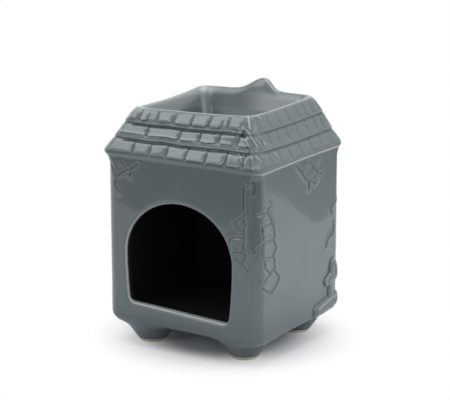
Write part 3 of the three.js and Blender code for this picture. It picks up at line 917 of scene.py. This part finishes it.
def plant_height(node, u, v):
    """How far one of the plant's shapes stands out from the wall, round at its edge and dished within."""
    height, edge, dish, dish_span = PLANT_FORMS[node][:4]
    outline = plant_outline(node, u, v)
    within = np.clip(-outline / edge, -0.4, 1)
    crown = np.sqrt(np.clip(1 - (1 - within) ** 2 / 1.96, 0, 1))
    return height * crown - dish * ramp(-outline, *dish_span)


def plant_fields(node):
    """For a shape moulded on the wall: its own closed solid, and the surface that its normals follow."""

    def top(x, y, z):
        return dressed_outside(x, y, z) - plant_height(node, wall_place(x, y), z)

    def solid(x, y, z):
        beneath = -PLANT_SINK - dressed_outside(x, y, z)
        bare = PLANT_LEAST - plant_height(node, wall_place(x, y), z)
        return np.maximum(np.maximum(top(x, y, z), beneath), bare * BARE_STEEPNESS)

    return solid, top


def lug_top(x, y, z):
    """The surface that the lug's normals follow."""
    return clay(x, y, z, lug=True) - LUG_PROUD


def lug_solid(x, y, z):
    """The lug's own closed solid: the clay that it adds to the rim, let in a little."""
    plain = clay(x, y, z)
    raised_rim = clay(x, y, z, lug=True)
    bare = 2 * LUG_PROUD - (plain - raised_rim)
    return np.maximum(np.maximum(raised_rim - LUG_PROUD, -LUG_SINK - plain), bare * BARE_STEEPNESS)


def values_of(rows, name, width=1, kind=np.float32):
    """One named value of each of a mesh's vertices, corners or faces, as an array of that width."""
    values = np.empty(len(rows) * width, kind)
    rows.foreach_get(name, values)
    return values.reshape(-1, width).squeeze()


def smooth_normals(piece, field):
    """Gives the glazed faces the field's own slope as their normals, and leaves the cut faces flat."""
    mesh = piece.data
    points = values_of(mesh.vertices, "co", 3).astype(float) / MM
    slope = gradient(field, points, 0.2)
    slope /= np.maximum(np.linalg.norm(slope, axis=1), 1e-9)[:, None]
    starts = values_of(mesh.polygons, "loop_start", kind=np.int32)
    counts = np.diff(np.append(starts, len(mesh.loops)))
    flat = np.repeat(values_of(mesh.polygons, "normal", 3), counts, axis=0)
    smooth = slope[values_of(mesh.loops, "vertex_index", kind=np.int32)]
    facing = (smooth * flat).sum(1) > GLAZED_FACING
    mesh.shade_smooth()
    mesh.normals_split_custom_set(np.where(facing[:, None], smooth, flat).tolist())
    return points


def bend(field, points, reach=0.8):
    """How sharply the surface bends at each point: above zero on outward edges, below zero in grooves."""
    total = -6 * field(*points.T)
    for step in reach * np.concatenate([np.eye(3), -np.eye(3)]):
        total += field(*(points + step).T)
    return total / reach**2


def past_edge(depth, z, spans):
    """Rises from 0 to 1 with the depth behind the wall's face, later on the sill than elsewhere."""
    on_sill = 1 - ramp(z - SILL_Z, *SILL_SPAN)
    (start, later_start), (full, later_full) = spans
    return ramp(depth, start + later_start * on_sill, full + later_full * on_sill)


def painted_chamber_shade(points):
    """Painted shade: 1 inside the candle chamber, which is black, and 0 on the outside, turning over the
    mouth's inner edge.
    """
    x, y, z = points.T
    inside = past_edge(-outside_distance(x, y, z), z, CHAMBER_SHADE_DEPTHS)
    enclosed = np.maximum(ramp(-chamber_void(x, y, z), -1.5, -0.8), ramp(-mouth_void(x, y, z), -2.0, -1.0))
    return inside * enclosed * ramp(BOWL_UNDERSIDE_Z + 2 - z, 0, 1)


def pale_and_highlight_lines(points):
    """Thin glaze and painted highlights: 1 where the glaze is thinnest along the mouth's inner edge, thin
    glaze with a painted highlight on the basin's rim, and painted highlights along the lower edges of the
    eaves and of the right wall and on the ridges at the near hip."""
    x, y, z = points.T
    outside = outside_distance(x, y, z)
    from_mouth = mouth_void(x, y, z)
    on_lip = (1 - ramp(from_mouth, 0.35, 1.0)) * (y < -HALF_Y + WALL) * (from_mouth > -1.5)
    from_crest = outside_distance(x, y, z, lug=True) + basin_void(x, y, z, lug=True)
    rim_share = RIM_REAR_PALE + (1 - RIM_REAR_PALE) * ramp(-y, HALF_Y - 22, HALF_Y - 15)
    eaves_share = EAVES_HIGHLIGHT + EAVES_RIGHT_HIGHLIGHT * ramp(x, HALF_X - 3, HALF_X - 1)
    # The mouth's line is thin glaze, the rim's is thin glaze with a painted highlight, and the rest are
    # painted highlights
    lines = (
        on_lip * (1 - past_edge(-outside, z, MOUTH_LINE_DEPTHS)),
        rim_share * hump(from_crest, 1.1) * (z > RIDGE_Z),
        eaves_share * hump(roof_level(x, y, z) - EAVES_Z - 0.9, 0.6) * (outside > -1),
        BOTTOM_HIGHLIGHT * hump(z - UNDERSIDE_Z - 1.0, 0.7) * ramp(x, HALF_X - 3, HALF_X - 1.5),
        hip_relief(x, y, z)[1],
    )
    return np.max(lines, axis=0)


def painted_shade_and_light(points):
    """Painted dark reflection in the basin's rear left corner and painted shade at the foot of the walls,
    and painted reflection on the basin's right half, painted light on its left wall and painted highlight
    along its left rim."""
    x, y, z = points.T
    in_hollow = ramp(-outside_distance(x, y, z, lug=True), 3, 6) * ramp(z, RIDGE_Z - 2, RIDGE_Z)
    # Painted dark reflection in a band along the basin's rear left corner
    on_rear = in_hollow * ramp(y, 14, 20)
    band = (1 - ramp(x, -8, 5)) * (1 - ramp(-x, 22.5, 23.5))
    strongest = REAR_BAND_DARK_REFLECTION + (1 - REAR_BAND_DARK_REFLECTION) * ramp(-x, 15, 17)
    # Painted shade, darker towards the foot of the walls
    at_foot = FOOT_OF_WALL_SHADE * (1 - ramp(z, UNDERSIDE_Z, UNDERSIDE_Z + 15))
    # Painted reflection on the rear wall's right half, painted light on the left wall, painted highlight on
    # the left rim
    thin = (
        REAR_RIGHT_REFLECTION * on_rear * ramp(x, -6, 11) * ramp(CREST_Z + 1 - z, 0, 3),
        LEFT_WALL_LIGHT * in_hollow * ramp(-x, 22, 26) * (1 - ramp(y, 18, 22)),
        LEFT_RIM_HIGHLIGHT * ramp(-x, 20, 26) * ramp(z, CREST_Z - 5, CREST_Z - 2),
    )
    return np.maximum(on_rear * strongest * band, at_foot), np.max(thin, axis=0)


def plant_shade(points, on_wall):
    """Painted shade along the plant's outline, and painted highlights on the plant's ridges."""
    x, y, z = points.T
    near = (x > HALF_X - 14) & (y > 8) & (z < 45)
    u = wall_place(x, y)
    outline = np.min([plant_outline(node, u, z) - form[4] for node, form in PLANT_FORMS.items()], axis=0)
    if on_wall:
        return near * WALL_BY_PLANT_SHADE * hump(outline, 0.8), 0
    pale = [share * hump(bar_outline(u, z, line), half) for share, half, line in PLANT_HIGHLIGHTS]
    return near * PLANT_EDGE_SHADE * ramp(outline, -0.9, -0.2), near * np.max(pale, axis=0)


def finish_piece(piece, node, material, field):
    """Names a piece, gives it its normals, its wear, painted shade and painted light, and its glaze, and
    puts it in its node's place.
    """
    piece.name = f"glazed_{node}"
    piece.data.name = piece.name
    piece.data.materials.clear()
    points = smooth_normals(piece, field)
    bends = bend(field, points)
    # thick holds painted shade and thin holds painted light
    thick, thin = painted_shade_and_light(points)
    edge_share, pool_share = CARVED_SHARES if node == "body_shell" else (1, 1)
    # Painted shade round the plant and painted highlights on it
    if node == "body_shell" or node in PLANT_FORMS:
        by_plant, on_plant = plant_shade(points, node == "body_shell")
        thick = np.maximum(thick, by_plant)
        thin = np.maximum(thin, on_plant)
    # Glaze thinned on edges and pooled in grooves, and painted shade and painted light
    wear_and_painted_light = {
        "edge": np.clip(edge_share * bends, 0, 4),
        "thin_and_highlight": pale_and_highlight_lines(points),
        "pool": np.clip(-pool_share * bends, 0, 4),
        "thick": thick,
        "thin": thin,
        "chamber_shade": painted_chamber_shade(points),
    }
    for label, values in wear_and_painted_light.items():
        layer = piece.data.attributes.new(label, "FLOAT", "POINT")
        layer.data.foreach_set("value", np.asarray(values, np.float32))
    piece.data.materials.append(material)
    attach(piece, "root")
    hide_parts(node)


def thin_out(piece, triangles):
    """Takes the piece down to that many triangles, where it has more, keeping its carved places fine."""
    count = sum(len(face.vertices) - 2 for face in piece.data.polygons)
    if count > triangles:
        modifier = piece.modifiers.new("thin", "DECIMATE")
        modifier.ratio = triangles / count
        apply_modifiers(piece)
    return piece


def fill(tree, node, sockets):
    """Sets a node's sockets: a socket given as the value is linked, and a number or colour is set."""
    for socket, value in sockets.items():
        if isinstance(value, bpy.types.NodeSocket):
            tree.links.new(value, node.inputs[socket])
        else:
            node.inputs[socket].default_value = (*value, 1) if isinstance(value, tuple) else value


def add_node(tree, kind, sockets=None, **settings):
    """A new shader node with those settings and sockets."""
    node = tree.nodes.new(f"ShaderNode{kind}")
    for setting, value in settings.items():
        setattr(node, setting, value)
    fill(tree, node, sockets or {})
    return node


def new_material(name, sockets):
    """A material, its node tree and its shader with those sockets."""
    material = bpy.data.materials.new(name)
    material.use_nodes = True
    tree = material.node_tree
    shader = tree.nodes["Principled BSDF"]
    fill(tree, shader, sockets)
    return material, tree, shader


def eased(tree, value, low, high, top=1.0):
    """Rises smoothly from 0 where the value is low to the top where it is high."""
    sockets = {"Value": value, "From Min": low, "From Max": high, "To Max": top}
    return add_node(tree, "MapRange", sockets, interpolation_type="SMOOTHSTEP").outputs["Result"]


def combined(tree, operation, first, second):
    """The product or the larger of two values."""
    return add_node(tree, "Math", {0: first, 1: second}, operation=operation).outputs[0]


def choose_shader(tree, share, first, second, output):
    """Mixes two shaders by that share into the tree's output."""
    choice = add_node(tree, "MixShader", {"Fac": share, 1: first.outputs[0], 2: second.outputs[0]})
    fill(tree, tree.nodes[output], {"Surface": choice.outputs[0]})


def glaze_material(name, bare_foot=False, chamber_shaded=True, gloss=GLAZE_GLOSS):
    """Glossy slate-grey glaze, paler where it thins on edges and darker where it pools, with painted shade
    and painted light laid over it. One with a shaded chamber is black there, as painted shade, and a bare
    foot shows the clay."""
    coat = {"Coat Weight": 1.0, "Coat Roughness": gloss, "Coat IOR": GLAZE_IOR}
    plain = {"Roughness": GLAZE_ROUGHNESS, "Specular IOR Level": GLAZE_SPECULAR}
    material, tree, shader = new_material(name, {**plain, **coat})
    place = add_node(tree, "TexCoord").outputs["Object"]

    def attribute(label):
        return add_node(tree, "Attribute", attribute_name=label).outputs["Fac"]

    def noise(scale, detail):
        sockets = {"Scale": scale, "Detail": detail, "Vector": place}
        return add_node(tree, "TexNoise", sockets).outputs["Fac"]

    def mix(factor, first, second):
        return add_node(tree, "Mix", {"Factor": factor, 6: first, 7: second}, data_type="RGBA").outputs[2]

    body = mix(eased(tree, noise(*CLOUD_NOISE), 0.35, 0.65), GLAZE_BODY, GLAZE_CLOUD)
    body = mix(eased(tree, noise(*SPECK_NOISE), 0.4, 0.7, 0.35), body, GLAZE_SPECK)
    for label, span, colour in GLAZE_LAYERS:
        share = attribute(label)
        body = mix(eased(tree, share, *span) if span else share, body, colour)
    # Painted shade: black inside the candle chamber, rougher and without the coat there
    if chamber_shaded:
        chamber_shade = attribute("chamber_shade")
        body = mix(chamber_shade, body, PAINTED_CHAMBER_SHADE)
        sheen = {"Value": chamber_shade, "To Min": GLAZE_ROUGHNESS, "To Max": CHAMBER_SHADE_ROUGHNESS}
        rough = add_node(tree, "MapRange", sheen).outputs["Result"]
        fill(tree, shader, {"Roughness": rough, "Coat Weight": eased(tree, chamber_shade, 1.0, 0.0)})
    if bare_foot:
        height = add_node(tree, "SeparateXYZ", {"Vector": place}).outputs["Z"]
        glazed = eased(tree, height, *BARE_CLAY_TOP)
        body = mix(glazed, BARE_CLAY, body)
        fill(tree, shader, {"Coat Weight": glazed})
    bump = {"Strength": RIPPLE_STRENGTH, "Distance": RIPPLE_DEPTH, "Height": noise(*RIPPLE_NOISE)}
    ripple = add_node(tree, "Bump", bump).outputs["Normal"]
    fill(tree, shader, {"Base Color": body, "Normal": ripple, "Coat Normal": ripple})
    return material


def place_towards(thing, place, target):
    """Puts a camera or lamp in its place, turned towards a point."""
    thing.location = place
    thing.rotation_euler = (Vector(target) - thing.location).to_track_quat("-Z", "Y").to_euler()
    bpy.context.scene.collection.objects.link(thing)


def make_camera():
    """The photograph's viewpoint: 0.8 m away, a little above, from the front right."""
    bpy.context.scene.view_settings.view_transform = "Standard"
    data = bpy.data.cameras.new("photo_camera")
    data.sensor_width = CAMERA_SENSOR
    data.lens = CAMERA_LENS
    data.clip_start = 0.01
    camera = bpy.data.objects.new("photo_camera", data)
    place_towards(camera, CAMERA_PLACE, CAMERA_TARGET)
    bpy.context.scene.camera = camera


def make_lamps():
    """Large soft lamps: the brightest on the right, a broad one overhead and weaker ones on the left."""
    for name, place, size, power, colour, mirrored in LAMPS:
        data = bpy.data.lights.new(name, "AREA")
        data.shape = "SQUARE"
        data.size = size
        data.energy = power
        data.color = colour
        lamp = bpy.data.objects.new(name, data)
        lamp.visible_camera = False
        lamp.visible_glossy = mirrored
        place_towards(lamp, place, LAMP_TARGET)


def seen_ray(tree):
    """Whether the ray is from the camera, and whether it is a reflection or has gone through glass."""
    path = add_node(tree, "LightPath").outputs
    mirrored = combined(tree, "MAXIMUM", path["Is Glossy Ray"], path["Is Transmission Ray"])
    return path["Is Camera Ray"], mirrored


def make_world():
    """A white room to the eye and in reflections, and a softer light on matt surfaces."""
    world = bpy.data.worlds.new("white_room")
    bpy.context.scene.world = world
    world.use_nodes = True
    tree = world.node_tree
    ambient = tree.nodes["Background"]
    fill(tree, ambient, {"Color": AMBIENT_TINT, "Strength": AMBIENT_LEVEL})
    white = add_node(tree, "Background", {"Color": WHITE, "Strength": 1.0})
    choose_shader(tree, combined(tree, "MAXIMUM", *seen_ray(tree)), ambient, white, "World Output")


def make_floor():
    """A white sweep of paper that keeps the burner's shadow and fades into the white room."""
    corners = np.array([(-1, -1, 0), (1, -1, 0), (1, 1, 0), (-1, 1, 0)]) * FLOOR_HALF / MM
    floor = mesh_object("paper_floor", corners, np.array([[0, 1, 2, 3]]))
    dull = {"Base Color": FLOOR_WHITE, "Roughness": DULL, "Specular IOR Level": 0.1}
    material, tree, paper = new_material("white_paper", dull)
    glow = add_node(tree, "Emission", {"Strength": 1.0})
    place = add_node(tree, "TexCoord").outputs["Object"]
    length = add_node(tree, "VectorMath", {0: place}, operation="LENGTH").outputs["Value"]
    shares = []
    for seen, (start, end) in zip(seen_ray(tree), FLOOR_FADES):
        shares.append(combined(tree, "MULTIPLY", eased(tree, length, start, end), seen))
    choose_shader(tree, combined(tree, "MAXIMUM", *shares), paper, glow, "Material Output")
    floor.data.materials.append(material)


def cast(node, slot, glaze, whole, *cuts):
    """Makes one casting: what those cuts leave of the whole burner, finished in its node's place."""
    piece = whole
    for operation, cutter in cuts:
        before = piece
        piece = combine(f"{node}_cut", before, cutter, operation)
        if before is not whole:
            remove(before)
    finish_piece(thin_out(piece, PIECE_TRIANGLES), node, glaze, clay)


def make_fired_pieces():
    """Meshes the whole burner and cuts it into its castings."""
    margin = 2.0
    wall_x = HALF_X + WALL_SWELL
    wall_y = HALF_Y + WALL_SWELL
    high = (HALF_X + EAVES_OVERHANG + margin, HALF_Y + EAVES_OVERHANG + margin, CREST_Z + margin)
    low = (
        clear_start(-high[0], SURFACE_STEP, (-wall_x, wall_x)),
        clear_start(-high[1], SURFACE_STEP, (-wall_y, wall_y)),
        clear_start(-margin, SURFACE_STEP, (0, UNDERSIDE_Z, UNDERSIDE_Z + FLOOR)),
    )
    whole = mesh_object("whole", *skin(clay, low, high, SURFACE_STEP))
    bowl = bowl_cutter("bowl_cutter")
    wall = glaze_material("wall_glaze")
    roof = glaze_material("roof_glaze")
    basin = glaze_material("basin_glaze", gloss=BASIN_GLOSS)
    foot = glaze_material("foot_glaze", bare_foot=True, chamber_shaded=False)
    make_lug(basin)

    walls = slab_cutter("walls_cutter", FOOT_PARTING_Z, EAVES_Z)
    cast("body_shell", "wall_glaze", wall, whole, ("INTERSECT", walls))
    remove(walls)

    seams = (EAVES_Z, MIDDLE_Z, RIDGE_Z, RIM_Z)
    for course, node in enumerate(("eaves_course", "middle_course", "ridge_course")):
        band = slab_cutter("band_cutter", seams[course], seams[course + 1])
        cast(node, "roof_glaze", roof, whole, ("INTERSECT", band), ("DIFFERENCE", bowl))
        remove(band)

    above = slab_cutter("above_cutter", RIM_Z, CREST_Z + 6)
    bowl_and_rim = combine("bowl_and_rim", bowl, above, "UNION")
    upper = slab_cutter("upper_cutter", EAVES_Z - 1, CREST_Z + 6)
    cast("oil_basin", "basin_glaze", basin, whole, ("INTERSECT", upper), ("INTERSECT", bowl_and_rim))
    remove(above, bowl_and_rim, upper)

    left, right = CUT_RANGE
    for node, (foot_x, foot_y) in zip(FOOT_NODES, FOOT_CENTRES):
        x_range = (left, 0) if foot_x < 0 else (0, right)
        y_range = (left, 0) if foot_y < 0 else (0, right)
        quarter = slab_cutter("quarter_cutter", -3, FOOT_PARTING_Z, x_range, y_range)
        cast(node, "foot_glaze", foot, whole, ("INTERSECT", quarter))
        remove(quarter)
    remove(whole, bowl)


def make_plant():
    """The trough, stem and leaves moulded on the right wall."""
    glaze = glaze_material("sprig_glaze", chamber_shaded=False)
    for node, (*_, (near_y, low_z), (far_y, high_z)) in PLANT_FORMS.items():
        solid, top = plant_fields(node)
        low = (HALF_X - 14, near_y, low_z)
        high = (HALF_X + 4, min(far_y, HALF_Y + 4), high_z)
        piece = mesh_object(f"{node}_skin", *skin(solid, low, high, SMALL_STEP))
        finish_piece(piece, node, glaze, top)


def make_lug(basin):
    """The pointed lug on the rear rim."""
    low = (-20, HALF_Y - 24, RIM_Z - 4)
    high = (20, HALF_Y + 6, LUG_TOP_Z + 4)
    piece = mesh_object("lug_skin", *skin(lug_solid, low, high, SMALL_STEP))
    finish_piece(piece, "rear_lug", basin, lug_top)


def make_cards():
    """The ends of the photographer's table: dull cards off the picture, which only the glaze mirrors."""
    for name, grey, outline in CARDS:
        corners = np.array([(x, y, CARD_Z) for x, y in outline])
        card = mesh_object(name, corners, np.arange(len(corners))[None])
        dull = {"Base Color": (grey, grey, grey), "Roughness": DULL}
        card.data.materials.append(new_material(name, dull)[0])
        card.visible_camera = False
        card.visible_diffuse = False
        card.visible_shadow = False


make_camera()
make_world()
make_lamps()
make_floor()
make_cards()
make_fired_pieces()
make_plant()
